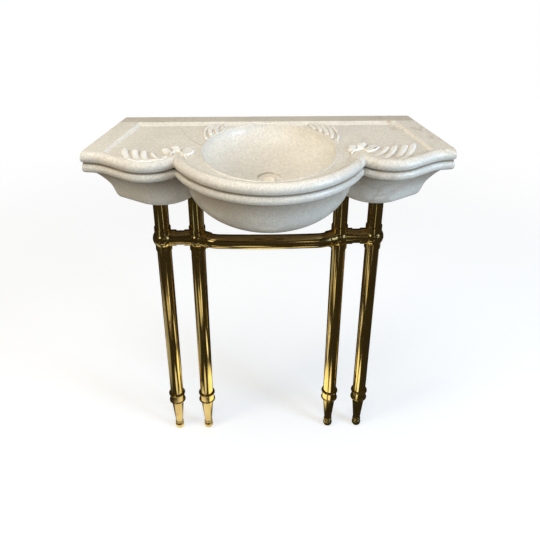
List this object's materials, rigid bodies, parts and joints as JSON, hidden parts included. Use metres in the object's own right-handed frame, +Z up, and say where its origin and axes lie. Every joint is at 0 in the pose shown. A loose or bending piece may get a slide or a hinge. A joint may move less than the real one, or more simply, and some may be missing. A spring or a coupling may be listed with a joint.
{
  "type": "console sink",
  "caption": "Carved stone console sink with a round bowl, moulded bow front and two wings, on a tubular brass stand with ball fittings and turned feet.",
  "frame": {"origin": "on the floor, in the middle of the whole outline seen from above", "axes": "+X to the right of a person facing the sink, +Y towards the wall, +Z up"},
  "size_m": [0.776, 0.3399, 0.87],
  "materials": {
    "marble": "honed",
    "brass": "polished",
    "insert": "plain turned",
    "screw": "aged"
  },
  "bodies": {
    "root": {"stone_basin": "marble", "upper_tube_outer_left": "brass", "lower_tube_outer_left": "brass", "ball_fitting_outer_left": "brass", "foot_outer_left": "brass", "top_plug_outer_left": "brass", "upper_tube_inner_left": "brass", "lower_tube_inner_left": "brass", "ball_fitting_inner_left": "brass", "foot_inner_left": "brass", "top_plug_inner_left": "brass", "upper_tube_inner_right": "brass", "lower_tube_inner_right": "brass", "ball_fitting_inner_right": "brass", "foot_inner_right": "brass", "top_plug_inner_right": "brass", "upper_tube_outer_right": "brass", "lower_tube_outer_right": "brass", "ball_fitting_outer_right": "brass", "foot_outer_right": "brass", "top_plug_outer_right": "brass", "side_rail_left": "brass", "side_rail_right": "brass", "front_bow_rail": "brass", "stone_inserts": "insert", "grub_screws": "screw"}
  },
  "joints": []
}
